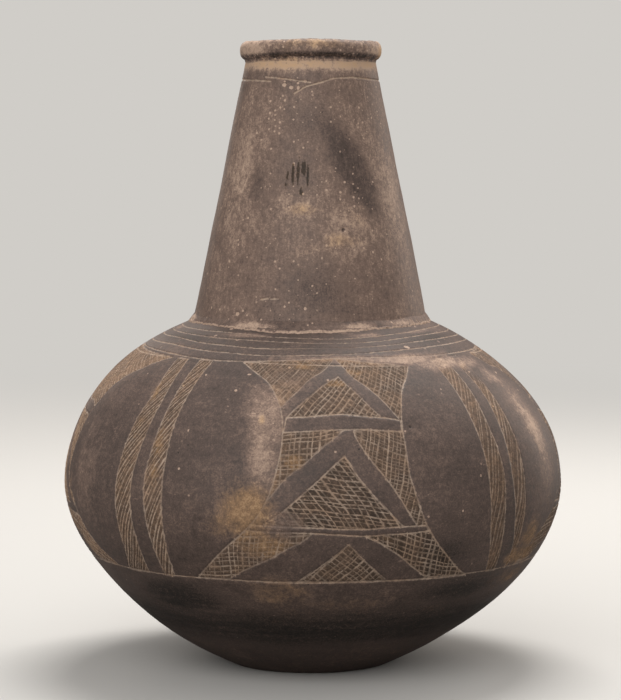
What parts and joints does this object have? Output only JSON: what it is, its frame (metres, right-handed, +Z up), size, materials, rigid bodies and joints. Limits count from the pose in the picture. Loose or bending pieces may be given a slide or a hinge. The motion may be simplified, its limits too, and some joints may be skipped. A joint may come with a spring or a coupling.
{
  "type": "engraved pottery bottle",
  "caption": "Hand-built dark burnished pottery bottle with a round engraved body, a tall tapering neck and a rolled rim, for holding and pouring liquid.",
  "frame": {"origin": "centre of the flat base, where the bottle stands", "axes": "+Z up along the bottle's axis, through the mouth; -Y towards the viewer of the picture"},
  "size_m": [0.1658, 0.1658, 0.2074],
  "materials": {
    "burnished_clay": "burnished",
    "worn_clay": "matt, worn",
    "inner_clay": "matt"
  },
  "bodies": {
    "root": {"base_disc": "burnished_clay", "body_coil_1": "burnished_clay", "body_coil_2": "burnished_clay", "body_coil_3": "burnished_clay", "body_coil_4": "burnished_clay", "body_coil_5": "burnished_clay", "body_coil_6": "burnished_clay", "body_coil_7": "burnished_clay", "body_coil_8": "burnished_clay", "shoulder_coil": "burnished_clay", "neck_foot": "burnished_clay", "neck_coil_2": "burnished_clay", "neck_coil_3": "burnished_clay", "neck_coil_4": "burnished_clay", "neck_coil_5": "burnished_clay", "neck_joint_outer_fillet": "worn_clay", "neck_joint_inner_fillet": "inner_clay", "rim_coil": "worn_clay"}
  },
  "joints": []
}
